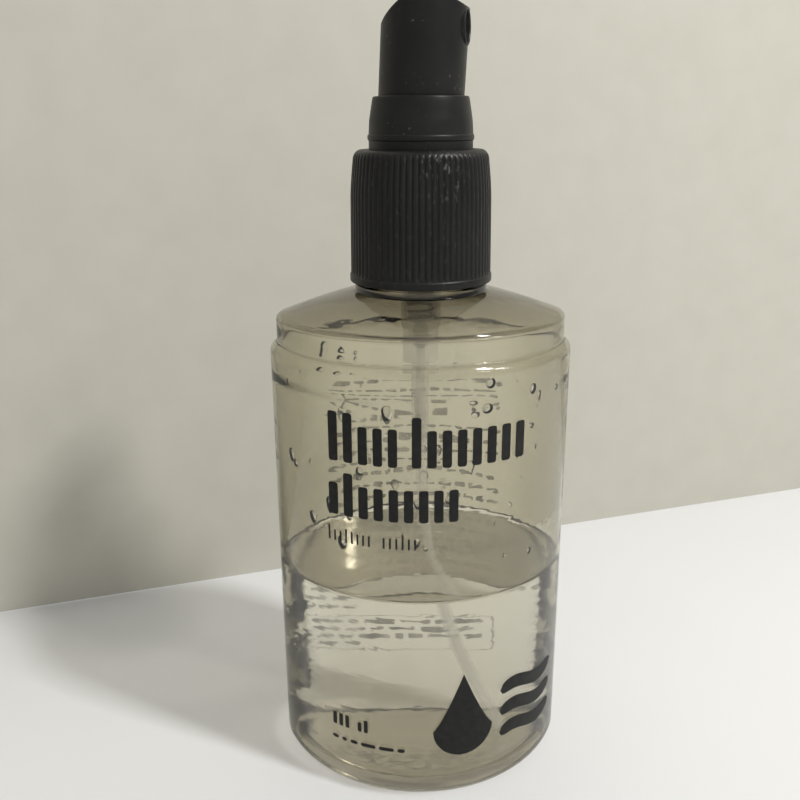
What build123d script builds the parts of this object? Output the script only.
from build123d import *
import os
from math import asin, atan2, cos, degrees, hypot, radians, sin

# Lens cleaning spray: an oval clear bottle, part filled with cleaning gel, under a
# ribbed 24/410 screw collar and a finger-press mist pump with a swivelling head.
# Millimetres, +Z up. The origin is the middle of the bottle's standing ring, on the table.
# X runs along the bottle's width, Y through its depth, and the front faces -Y.

# ---------------------------------------------------------------- bottle
BODY_HALF_WIDTH = 31.0
BODY_HALF_DEPTH = 24.8
BODY_SIDE_RADIUS = 14.0        # radius of the two narrow ends of the oval
BODY_WALL = 0.8
BODY_TOP_Z = 95.1
BODY_TOP_ROUND = 2.3
HEEL_RADIUS = 4.0
BASE_THICKNESS = 1.2
PUSH_UP_INSET = 6.0            # standing ring's width
PUSH_UP_HEIGHT = 1.8
BAND_INSET = 1.45              # the printed body steps in to a plain band
BAND_TOP_Z = 100.6
BAND_TOP_ROUND = 1.2
SHOULDER_START_INSET = 2.2
SHOULDER_KNEE_Z = 101.8
SHOULDER_KNEE_SPREAD = 0.735   # share of the oval's stretch that is left at the knee
NECK_RING_RADIUS = 13.3
NECK_RING_LEDGE = 0.15
NECK_RING_Z = 105.2
NECK_RING_TOP_Z = 106.6
NECK_RADIUS = 10.85            # root of the thread
NECK_BORE_RADIUS = 9.4
NECK_TOP_Z = 123.0

# ---------------------------------------------------------------- thread (24/410)
THREAD_PITCH = 3.175
THREAD_TURNS = 1.5
THREAD_CREST_RADIUS = 11.9
THREAD_ROOT_WIDTH = 1.9
THREAD_CREST_WIDTH = 0.8
THREAD_START_Z = 115.9
THREAD_EMBED = 0.4             # how far the ridge's foot is sunk into the wall
COLLAR_THREAD_CREST_RADIUS = 11.2
UNSCREW_LIFT = THREAD_PITCH * THREAD_TURNS

# ---------------------------------------------------------------- gel
GEL_LEVEL_Z = 46.4
GEL_GAP = 0.08
GEL_SLOT_CLEARANCE = 0.4       # room round the dip tube
GEL_SLOT_SWEEP = 28.0          # degrees of the tube's bend that the slot follows, to below the base

# ---------------------------------------------------------------- screw collar
COLLAR_BOTTOM_Z = 107.0
COLLAR_TOP_Z = 132.4
COLLAR_PLATE = 1.8
COLLAR_FLANGE_RADIUS = 14.25
COLLAR_FLANGE_TOP_Z = 108.6
COLLAR_LOW_RADIUS = 14.05
COLLAR_MID_RADIUS = 13.88
COLLAR_MID_Z = 123.0
COLLAR_UPPER_RADIUS = 13.65
COLLAR_UPPER_Z = 127.0
COLLAR_HIGH_RADIUS = 13.3
COLLAR_HIGH_Z = 130.4
COLLAR_EDGE_RADIUS = 12.8      # middle of the rounded top edge
COLLAR_EDGE_Z = 131.82
COLLAR_TOP_FLAT_RADIUS = 11.6
COLLAR_INNER_RADIUS = 12.2
COLLAR_HOLE_RADIUS = 10.45
RIB_COUNT = 72
RIB_GROOVE_DEPTH = 0.3
RIB_GROOVE_WIDTH = 0.62
RIB_OVERRUN = 0.9              # the grooves run this far up the rounded top edge

# ---------------------------------------------------------------- neck gasket
GASKET_THICKNESS = 1.2
GASKET_OUTER_RADIUS = 11.9
GASKET_INNER_RADIUS = 6.2

# ---------------------------------------------------------------- pump housing
HOUSING_FLANGE_Z = NECK_TOP_Z + GASKET_THICKNESS
HOUSING_FLANGE_THICKNESS = 1.6
HOUSING_FLANGE_RADIUS = 11.6
CUP_RADIUS = 4.85
CUP_BORE_RADIUS = 4.1
CUP_BOTTOM_Z = 118.2
CUP_TOP_Z = 128.6
CHAMBER_RADIUS = 4.05
CHAMBER_BORE_RADIUS = 3.45
CHAMBER_TOP_Z = 120.0
CHAMBER_FLOOR_Z = 98.6
CHAMBER_BOTTOM_Z = 97.4
VALVE_RADIUS = 3.7
VALVE_BOTTOM_Z = 90.0
VALVE_CAGE_RADIUS = 1.6
VALVE_CAGE_TOP_Z = 97.0
VALVE_LIP_RADIUS = 1.15
VALVE_LIP_RISE = 0.4           # height of the cone that holds the ball in
SEAT_Z = 92.6
SEAT_RADIUS = 0.9
TAIL_RADIUS = 1.8
TAIL_BOTTOM_Z = 72.0
TUBE_STOP_Z = 84.0
VENT_Z = 115.6
VENT_RADIUS = 0.4

# ---------------------------------------------------------------- inlet ball
BALL_RADIUS = 1.25
BALL_SEAT_SLOPE = 45.0         # half the angle of the cone that the ball sits in

# ---------------------------------------------------------------- dip tube
TUBE_RADIUS = 1.2
TUBE_BORE_RADIUS = 0.75
TUBE_BEND_Z = TAIL_BOTTOM_Z
TUBE_BEND_RADIUS = 165.0
TUBE_END_Z = 3.6
TUBE_FIT_GAP = 0.02

# ---------------------------------------------------------------- stem, piston and spring
STEM_RADIUS = 1.75
STEM_BORE_RADIUS = 0.8
STEM_BOTTOM_Z = 110.4
STEM_TOP_Z = 148.0
STEM_PORT_Z = 114.6
STEM_PORT_RADIUS = 0.45
STEM_SHOULDER_RADIUS = 2.4
STEM_SHOULDER_Z = 118.6
STEM_RUNNING_GAP = 0.05
FOOT_RADIUS = 2.9
FOOT_THICKNESS = 1.6
PISTON_Z = STEM_BOTTOM_Z + FOOT_THICKNESS
PISTON_LENGTH = 5.8
PISTON_WAIST_RADIUS = 2.7
PISTON_LIP_LENGTH = 1.5
PISTON_TAPER = 0.4             # height of the step from a lip to the waist
PISTON_RUNNING_GAP = 0.04
SPRING_WIRE_RADIUS = 0.3
SPRING_COIL_RADIUS = 2.6
SPRING_TURNS = 7

# ---------------------------------------------------------------- lock bush
BUSH_TOP_Z = 129.8
BUSH_RIM_RADIUS = CUP_RADIUS - 0.1
BUSH_RADIUS = CUP_BORE_RADIUS - 0.02

# ---------------------------------------------------------------- turret
TURRET_SKIRT_RADIUS = 11.9
TURRET_SKIRT_BORE = 10.9
TURRET_FLANGE_Z = 129.0
TURRET_FLANGE_TOP_Z = COLLAR_TOP_Z - COLLAR_PLATE
TURRET_LOW_RADIUS = 10.12
TURRET_BEAD_Z = 134.6
TURRET_BEAD_RADIUS = 10.36
TURRET_BEAD_REACH = 0.6        # half the bead's height
TURRET_SHOULDER_Z = 137.8
TURRET_SHOULDER_RADIUS = 9.97
TURRET_TOP_Z = 142.1
TURRET_TOP_RADIUS = 9.28
TURRET_RIM_ROUND = 0.25
TURRET_BORE_RADIUS = 8.75
TURRET_FLOOR_Z = 131.0
TURRET_FLOOR_TOP_Z = 132.6
TURRET_STEM_HOLE = 2.2
TURRET_HUB_RADIUS = 6.6
TURRET_HUB_BORE = CUP_RADIUS + 0.05
TURRET_HUB_BOTTOM_Z = 126.4

# ---------------------------------------------------------------- actuator (spray head)
HEAD_ANGLE = -15.0             # the nozzle's heading at rest, from +X towards the front
HEAD_RADIUS = 8.25
HEAD_SKIRT_Z = 139.0
HEAD_UPRIGHT_Z = 140.5         # where the leaning axis crosses the stem's
HEAD_LEAN = 0.053              # forward lean of the head's wall for each millimetre up
HEAD_WALL = 1.1
HEAD_HOLLOW_TOP_Z = 149.5
HEAD_BLOCK_TOP_Z = 163.0
HEAD_BOSS_RADIUS = 3.3
HEAD_BOSS_Z = 139.4
NOZZLE_Z = 154.2
NOZZLE_FACE_X = 8.95           # flat round face about the nozzle
NOZZLE_FACE_RADIUS = 3.7
NOZZLE_RECESS_RADIUS = 3.0
NOZZLE_RECESS_FLOOR_X = 7.3
NOZZLE_POCKET_RADIUS = 2.3
NOZZLE_POCKET_FLOOR_X = 3.4
CHANNEL_RADIUS = 0.8
TROUGH_RADIUS = 10.25          # the finger rest is a round trough that rises to the front
TROUGH_SLOPE = 10.0
TROUGH_X = 0.74
TROUGH_Z = 156.2

# ---------------------------------------------------------------- nozzle insert
INSERT_RADIUS = NOZZLE_POCKET_RADIUS - 0.03
INSERT_FACE_X = 6.6
INSERT_CUP_RADIUS = 1.5
INSERT_CUP_DEPTH = 2.0
ORIFICE_RADIUS = 0.25

# Centres of the four arcs of the oval: two side arcs on X and two front and back arcs on Y.
SIDE_CENTRE = BODY_HALF_WIDTH - BODY_SIDE_RADIUS
DEPTH_REST = BODY_HALF_DEPTH - BODY_SIDE_RADIUS
FRONT_CENTRE = (SIDE_CENTRE**2 - DEPTH_REST**2) / (2 * DEPTH_REST)
CENTRE_DISTANCE = hypot(SIDE_CENTRE, FRONT_CENTRE)
JOIN_ANGLE = atan2(FRONT_CENTRE, SIDE_CENTRE)


def oval(z, side_radius, spread=1.0):
    """A closed oval of four tangent arcs at height z. spread 1 is the body's stretch, 0 a circle."""
    side = SIDE_CENTRE * spread
    front = FRONT_CENTRE * spread
    front_radius = side_radius + CENTRE_DISTANCE * spread
    join_x = side + side_radius * cos(JOIN_ANGLE)
    join_y = side_radius * sin(JOIN_ANGLE)
    end_x = side + side_radius
    end_y = front_radius - front
    edges = [
        ThreePointArc((join_x, -join_y, z), (end_x, 0, z), (join_x, join_y, z)),
        ThreePointArc((join_x, join_y, z), (0, end_y, z), (-join_x, join_y, z)),
        ThreePointArc((-join_x, join_y, z), (-end_x, 0, z), (-join_x, -join_y, z)),
        ThreePointArc((-join_x, -join_y, z), (0, -end_y, z), (join_x, -join_y, z)),
    ]
    return make_face(edges)


def edges_at(solid, z):
    """The solid's edges that lie flat at height z."""
    return solid.edges().filter_by_position(Axis.Z, z - 0.001, z + 0.001)


def disc(radius, low, high):
    """A plain upright cylinder about the Z axis."""
    return Pos(0, 0, low) * Cylinder(radius, high - low, align=(Align.CENTER, Align.CENTER, Align.MIN))


def ring(outer, inner, low, high):
    """A plain upright tube about the Z axis."""
    return disc(outer, low, high) - disc(inner, low, high)


def turned(points):
    """A solid turned about the Z axis from a closed outline of (radius, z) points."""
    outline = make_face(Plane.XZ * Polyline(points, close=True))
    return revolve(outline, Axis.Z)


def thread_ridge(root_radius, crest_radius, start_z):
    """One right-hand thread ridge whose foot is sunk into the wall."""
    inward = crest_radius > root_radius
    wall_radius = root_radius - THREAD_EMBED if inward else root_radius + THREAD_EMBED
    path = Pos(0, 0, start_z) * Helix(THREAD_PITCH, THREAD_PITCH * THREAD_TURNS, root_radius)
    outline = Polyline(
        (wall_radius, start_z - THREAD_ROOT_WIDTH / 2),
        (root_radius, start_z - THREAD_ROOT_WIDTH / 2),
        (crest_radius, start_z - THREAD_CREST_WIDTH / 2),
        (crest_radius, start_z + THREAD_CREST_WIDTH / 2),
        (root_radius, start_z + THREAD_ROOT_WIDTH / 2),
        (wall_radius, start_z + THREAD_ROOT_WIDTH / 2),
        close=True,
    )
    section = make_face(Plane.XZ * outline)
    return sweep(section, path=path, is_frenet=True)


def bottle_form(inset, floor_z, push_up_gap):
    """The bottle's filled shape below its neck ring, drawn in by inset all round."""
    side = BODY_SIDE_RADIUS - inset
    body = extrude(oval(floor_z, side), BODY_TOP_Z - inset - floor_z)
    body = fillet(edges_at(body, floor_z), HEEL_RADIUS - inset)
    body = fillet(edges_at(body, BODY_TOP_Z - inset), BODY_TOP_ROUND - inset / 2)
    band_z = BODY_TOP_Z - BODY_TOP_ROUND - 2 * inset
    band_top = BAND_TOP_Z - inset
    band = extrude(oval(band_z, side - BAND_INSET), band_top - band_z)
    band = fillet(edges_at(band, band_top), BAND_TOP_ROUND - inset / 2)
    start_side = BODY_SIDE_RADIUS - SHOULDER_START_INSET
    knee_side = NECK_RING_RADIUS + (start_side - NECK_RING_RADIUS) * SHOULDER_KNEE_SPREAD
    shoulder = loft(
        [
            oval(band_top - 0.4, side - SHOULDER_START_INSET),
            oval(SHOULDER_KNEE_Z - inset, knee_side - inset, SHOULDER_KNEE_SPREAD),
            oval(NECK_RING_Z - inset, NECK_RING_RADIUS + NECK_RING_LEDGE - inset, 0.001),
        ]
    )
    push_up = loft(
        [
            oval(-1, BODY_SIDE_RADIUS - PUSH_UP_INSET + 1 + push_up_gap),
            oval(PUSH_UP_HEIGHT + push_up_gap, BODY_SIDE_RADIUS - PUSH_UP_INSET - PUSH_UP_HEIGHT),
        ],
        ruled=True,
    )
    return body + band + shoulder - push_up


def make_bottle():
    outside = bottle_form(0, 0, 0)
    outside += disc(NECK_RING_RADIUS, NECK_RING_Z - 0.5, NECK_RING_TOP_Z)
    outside += disc(NECK_RADIUS, NECK_RING_TOP_Z - 1, NECK_TOP_Z)
    cavity = bottle_form(BODY_WALL, BASE_THICKNESS, BASE_THICKNESS)
    cavity += disc(NECK_BORE_RADIUS, NECK_RING_Z - 3, NECK_TOP_Z + 1)
    shell = outside - cavity
    ridge = thread_ridge(NECK_RADIUS, THREAD_CREST_RADIUS, THREAD_START_Z)
    return shell + ridge


def tube_arc(shift, lift):
    """The dip tube's bend moved sideways by shift and up by lift, down to below the base."""
    centre_x = TUBE_BEND_RADIUS
    centre_z = TUBE_BEND_Z + lift
    radius = TUBE_BEND_RADIUS - shift
    sweep_angle = radians(GEL_SLOT_SWEEP)
    points = []
    for share in (0, 0.5, 1):
        angle = sweep_angle * share
        points.append((centre_x - radius * cos(angle), centre_z - radius * sin(angle)))
    return points


def make_gel():
    gap = BODY_WALL + GEL_GAP
    gel = bottle_form(gap, BASE_THICKNESS + GEL_GAP, BASE_THICKNESS + GEL_GAP)
    above = Pos(0, 0, GEL_LEVEL_Z) * Box(80, 80, 80, align=(Align.CENTER, Align.CENTER, Align.MIN))
    reach = TUBE_RADIUS + GEL_SLOT_CLEARANCE
    left = tube_arc(-reach, 0)
    right = tube_arc(reach, UNSCREW_LIFT)
    outline = [
        Plane.XZ * ThreePointArc(*left),
        Plane.XZ * Line(left[2], right[2]),
        Plane.XZ * ThreePointArc(*reversed(right)),
        Plane.XZ * Line(right[0], left[0]),
    ]
    slot = extrude(make_face(outline), reach, both=True)
    return gel - above - slot


def collar_outside(depth):
    """The collar's outer wall as a turned solid, drawn in by depth."""
    wall = Plane.XZ * Polyline(
        (COLLAR_TOP_FLAT_RADIUS - depth, COLLAR_TOP_Z),
        (0, COLLAR_TOP_Z),
        (0, COLLAR_FLANGE_TOP_Z),
        (COLLAR_LOW_RADIUS - depth, COLLAR_FLANGE_TOP_Z),
        (COLLAR_MID_RADIUS - depth, COLLAR_MID_Z),
    )
    upper_wall = Plane.XZ * ThreePointArc(
        (COLLAR_MID_RADIUS - depth, COLLAR_MID_Z),
        (COLLAR_UPPER_RADIUS - depth, COLLAR_UPPER_Z),
        (COLLAR_HIGH_RADIUS - depth, COLLAR_HIGH_Z),
    )
    top_round = Plane.XZ * ThreePointArc(
        (COLLAR_HIGH_RADIUS - depth, COLLAR_HIGH_Z),
        (COLLAR_EDGE_RADIUS - depth, COLLAR_EDGE_Z),
        (COLLAR_TOP_FLAT_RADIUS - depth, COLLAR_TOP_Z),
    )
    return revolve(make_face([wall, upper_wall, top_round]), Axis.Z)


def make_screw_collar():
    outside = collar_outside(0)
    skin = outside - collar_outside(RIB_GROOVE_DEPTH)
    slot = Pos(COLLAR_MID_RADIUS, 0, COLLAR_FLANGE_TOP_Z) * Box(
        4,
        RIB_GROOVE_WIDTH,
        COLLAR_HIGH_Z + RIB_OVERRUN - COLLAR_FLANGE_TOP_Z,
        align=(Align.CENTER, Align.CENTER, Align.MIN),
    )
    groove = skin & slot
    grooves = [Rot(0, 0, 360 * turn / RIB_COUNT) * groove for turn in range(RIB_COUNT)]
    collar = outside - grooves
    collar += disc(COLLAR_FLANGE_RADIUS, COLLAR_BOTTOM_Z, COLLAR_FLANGE_TOP_Z)
    collar -= disc(COLLAR_INNER_RADIUS, COLLAR_BOTTOM_Z - 1, TURRET_FLANGE_TOP_Z)
    collar -= disc(COLLAR_HOLE_RADIUS, COLLAR_BOTTOM_Z, COLLAR_TOP_Z + 1)
    start_z = THREAD_START_Z - THREAD_PITCH / 2
    ridge = thread_ridge(COLLAR_INNER_RADIUS, COLLAR_THREAD_CREST_RADIUS, start_z)
    return collar + ridge


def make_neck_gasket():
    return ring(GASKET_OUTER_RADIUS, GASKET_INNER_RADIUS, NECK_TOP_Z, HOUSING_FLANGE_Z)


def make_pump_housing():
    flange_top = HOUSING_FLANGE_Z + HOUSING_FLANGE_THICKNESS
    outside = disc(HOUSING_FLANGE_RADIUS, HOUSING_FLANGE_Z, flange_top)
    outside += disc(CUP_RADIUS, CUP_BOTTOM_Z, CUP_TOP_Z)
    outside += disc(CHAMBER_RADIUS, CHAMBER_BOTTOM_Z, CUP_BOTTOM_Z)
    outside += disc(VALVE_RADIUS, VALVE_BOTTOM_Z, CHAMBER_BOTTOM_Z)
    outside += disc(TAIL_RADIUS, TAIL_BOTTOM_Z, VALVE_BOTTOM_Z)
    seat_rise = VALVE_CAGE_RADIUS - SEAT_RADIUS
    inside = turned(
        [
            (0, TAIL_BOTTOM_Z - 1),
            (TUBE_RADIUS + TUBE_FIT_GAP, TAIL_BOTTOM_Z - 1),
            (TUBE_RADIUS + TUBE_FIT_GAP, TUBE_STOP_Z),
            (SEAT_RADIUS, TUBE_STOP_Z),
            (SEAT_RADIUS, SEAT_Z),
            (VALVE_CAGE_RADIUS, SEAT_Z + seat_rise),
            (VALVE_CAGE_RADIUS, VALVE_CAGE_TOP_Z),
            (VALVE_LIP_RADIUS, VALVE_CAGE_TOP_Z + VALVE_LIP_RISE),
            (VALVE_LIP_RADIUS, CHAMBER_FLOOR_Z),
            (CHAMBER_BORE_RADIUS, CHAMBER_FLOOR_Z),
            (CHAMBER_BORE_RADIUS, CHAMBER_TOP_Z),
            (CUP_BORE_RADIUS, CHAMBER_TOP_Z),
            (CUP_BORE_RADIUS, CUP_TOP_Z + 1),
            (0, CUP_TOP_Z + 1),
        ]
    )
    vent = Pos(0, -CHAMBER_RADIUS, VENT_Z) * Rot(90, 0, 0) * Cylinder(VENT_RADIUS, 3)
    return outside - inside - vent


def make_lock_bush():
    bush = disc(BUSH_RADIUS, CHAMBER_TOP_Z, CUP_TOP_Z)
    bush += disc(BUSH_RIM_RADIUS, CUP_TOP_Z, BUSH_TOP_Z)
    return bush - disc(STEM_RADIUS + STEM_RUNNING_GAP, CHAMBER_TOP_Z - 1, BUSH_TOP_Z + 1)


def make_dip_tube():
    bend_angle = degrees(asin((TUBE_BEND_Z - TUBE_END_Z) / TUBE_BEND_RADIUS))
    straight = Line((0, 0, TUBE_STOP_Z), (0, 0, TUBE_BEND_Z))
    bend = Plane.XZ * CenterArc((TUBE_BEND_RADIUS, TUBE_BEND_Z), TUBE_BEND_RADIUS, 180, bend_angle)
    path = straight + bend
    section = Plane((0, 0, TUBE_STOP_Z), z_dir=(0, 0, -1)) * (Circle(TUBE_RADIUS) - Circle(TUBE_BORE_RADIUS))
    return sweep(section, path=path)


def make_inlet_ball():
    slope = radians(BALL_SEAT_SLOPE)
    centre_z = SEAT_Z - SEAT_RADIUS / sin(slope) * cos(slope) + BALL_RADIUS / sin(slope)
    return Pos(0, 0, centre_z) * Sphere(BALL_RADIUS)


def make_stem():
    stem = disc(FOOT_RADIUS, STEM_BOTTOM_Z, PISTON_Z)
    stem += disc(STEM_RADIUS, PISTON_Z, STEM_TOP_Z)
    stem += disc(STEM_SHOULDER_RADIUS, STEM_SHOULDER_Z, CHAMBER_TOP_Z)
    stem -= disc(STEM_BORE_RADIUS, STEM_PORT_Z, STEM_TOP_Z + 1)
    port = Pos(0, 0, STEM_PORT_Z + STEM_PORT_RADIUS) * Rot(0, 90, 0) * Cylinder(STEM_PORT_RADIUS, 5)
    return stem - port


def make_piston():
    outer = CHAMBER_BORE_RADIUS - PISTON_RUNNING_GAP
    top = PISTON_Z + PISTON_LENGTH
    return turned(
        [
            (STEM_RADIUS + STEM_RUNNING_GAP, PISTON_Z),
            (outer, PISTON_Z),
            (outer, PISTON_Z + PISTON_LIP_LENGTH),
            (PISTON_WAIST_RADIUS, PISTON_Z + PISTON_LIP_LENGTH + PISTON_TAPER),
            (PISTON_WAIST_RADIUS, top - PISTON_LIP_LENGTH - PISTON_TAPER),
            (outer, top - PISTON_LIP_LENGTH),
            (outer, top),
            (STEM_RADIUS + STEM_RUNNING_GAP, top),
        ]
    )


def make_return_spring():
    low = CHAMBER_FLOOR_Z + SPRING_WIRE_RADIUS
    high = STEM_BOTTOM_Z - SPRING_WIRE_RADIUS
    path = Pos(0, 0, low) * Helix((high - low) / SPRING_TURNS, high - low, SPRING_COIL_RADIUS)
    start = Plane(path @ 0, z_dir=path % 0)
    return sweep(start * Circle(SPRING_WIRE_RADIUS), path=path, is_frenet=True)


def make_turret():
    outline = Plane.XZ * Polyline(
        (TURRET_TOP_RADIUS, TURRET_TOP_Z),
        (TURRET_BORE_RADIUS, TURRET_TOP_Z),
        (TURRET_BORE_RADIUS, TURRET_FLOOR_TOP_Z),
        (TURRET_STEM_HOLE, TURRET_FLOOR_TOP_Z),
        (TURRET_STEM_HOLE, TURRET_FLOOR_Z),
        (TURRET_HUB_BORE, TURRET_FLOOR_Z),
        (TURRET_HUB_BORE, TURRET_HUB_BOTTOM_Z),
        (TURRET_HUB_RADIUS, TURRET_HUB_BOTTOM_Z),
        (TURRET_HUB_RADIUS, TURRET_FLANGE_Z),
        (TURRET_SKIRT_BORE, TURRET_FLANGE_Z),
        (TURRET_SKIRT_BORE, HOUSING_FLANGE_Z + HOUSING_FLANGE_THICKNESS),
        (TURRET_SKIRT_RADIUS, HOUSING_FLANGE_Z + HOUSING_FLANGE_THICKNESS),
        (TURRET_SKIRT_RADIUS, TURRET_FLANGE_TOP_Z),
        (TURRET_LOW_RADIUS, TURRET_FLANGE_TOP_Z),
        (TURRET_LOW_RADIUS, TURRET_BEAD_Z - TURRET_BEAD_REACH),
    )
    bead = Plane.XZ * ThreePointArc(
        (TURRET_LOW_RADIUS, TURRET_BEAD_Z - TURRET_BEAD_REACH),
        (TURRET_BEAD_RADIUS, TURRET_BEAD_Z),
        (TURRET_LOW_RADIUS, TURRET_BEAD_Z + TURRET_BEAD_REACH),
    )
    taper = Plane.XZ * Polyline(
        (TURRET_LOW_RADIUS, TURRET_BEAD_Z + TURRET_BEAD_REACH),
        (TURRET_SHOULDER_RADIUS, TURRET_SHOULDER_Z),
        (TURRET_TOP_RADIUS, TURRET_TOP_Z),
    )
    turret = revolve(make_face([outline, bead, taper]), Axis.Z)
    rim = edges_at(turret, TURRET_TOP_Z).sort_by(SortBy.LENGTH)[-1]
    return fillet(rim, TURRET_RIM_ROUND)


def leaning_round(radius, low, high):
    """A round bar that leans forward as the head's wall does, nozzle towards +X."""
    sections = []
    for z in (low, high):
        sections.append(Pos(HEAD_LEAN * (z - HEAD_UPRIGHT_Z), 0, z) * Circle(radius))
    return loft(sections)


def finger_trough():
    """The round bar that cuts the finger rest into the top of the head."""
    bar = Rot(0, 90 - TROUGH_SLOPE, 0) * Cylinder(TROUGH_RADIUS, 60)
    rise = TROUGH_RADIUS / cos(radians(TROUGH_SLOPE))
    return Pos(TROUGH_X, 0, TROUGH_Z + rise) * bar


def along_nozzle(radius, low_x, high_x):
    """A round hole along the nozzle's axis."""
    hole = Cylinder(radius, high_x - low_x, align=(Align.CENTER, Align.CENTER, Align.MIN))
    return Pos(low_x, 0, NOZZLE_Z) * Rot(0, 90, 0) * hole


def make_actuator():
    head = leaning_round(HEAD_RADIUS, HEAD_SKIRT_Z, HEAD_BLOCK_TOP_Z)
    head += along_nozzle(NOZZLE_FACE_RADIUS, 0, NOZZLE_FACE_X)
    head -= Pos(NOZZLE_FACE_X, 0, NOZZLE_Z) * Box(10, 40, 40, align=(Align.MIN, Align.CENTER, Align.CENTER))
    head -= finger_trough()
    hollow = leaning_round(HEAD_RADIUS - HEAD_WALL, HEAD_SKIRT_Z - 1, HEAD_HOLLOW_TOP_Z)
    hollow -= disc(HEAD_BOSS_RADIUS, HEAD_BOSS_Z, HEAD_HOLLOW_TOP_Z)
    head -= hollow
    head -= disc(STEM_RADIUS + STEM_RUNNING_GAP, HEAD_SKIRT_Z - 1, STEM_TOP_Z)
    head -= disc(CHANNEL_RADIUS, STEM_TOP_Z - 1, NOZZLE_Z)
    head -= along_nozzle(NOZZLE_RECESS_RADIUS, NOZZLE_RECESS_FLOOR_X, HEAD_RADIUS + 5)
    head -= along_nozzle(NOZZLE_POCKET_RADIUS, NOZZLE_POCKET_FLOOR_X, NOZZLE_RECESS_FLOOR_X + 1)
    head -= along_nozzle(CHANNEL_RADIUS, 0, NOZZLE_POCKET_FLOOR_X + 1)
    return Rot(0, 0, HEAD_ANGLE) * head


def make_nozzle_insert():
    insert = along_nozzle(INSERT_RADIUS, NOZZLE_POCKET_FLOOR_X, INSERT_FACE_X)
    cup_floor_x = NOZZLE_POCKET_FLOOR_X + INSERT_CUP_DEPTH
    insert -= along_nozzle(INSERT_CUP_RADIUS, NOZZLE_POCKET_FLOOR_X - 1, cup_floor_x)
    insert -= along_nozzle(ORIFICE_RADIUS, NOZZLE_POCKET_FLOOR_X, INSERT_FACE_X + 1)
    return Rot(0, 0, HEAD_ANGLE) * insert


PIECES = {
    "bottle": make_bottle,
    "cleaning_gel": make_gel,
    "screw_collar": make_screw_collar,
    "neck_gasket": make_neck_gasket,
    "turret": make_turret,
    "pump_housing": make_pump_housing,
    "lock_bush": make_lock_bush,
    "dip_tube": make_dip_tube,
    "inlet_ball": make_inlet_ball,
    "stem": make_stem,
    "piston": make_piston,
    "return_spring": make_return_spring,
    "actuator": make_actuator,
    "nozzle_insert": make_nozzle_insert,
}

os.makedirs("parts", exist_ok=True)
for name, make in PIECES.items():
    piece = make()
    export_step(piece, "parts/" + name + ".step")
    print(name, round(piece.volume, 1), "mm3")
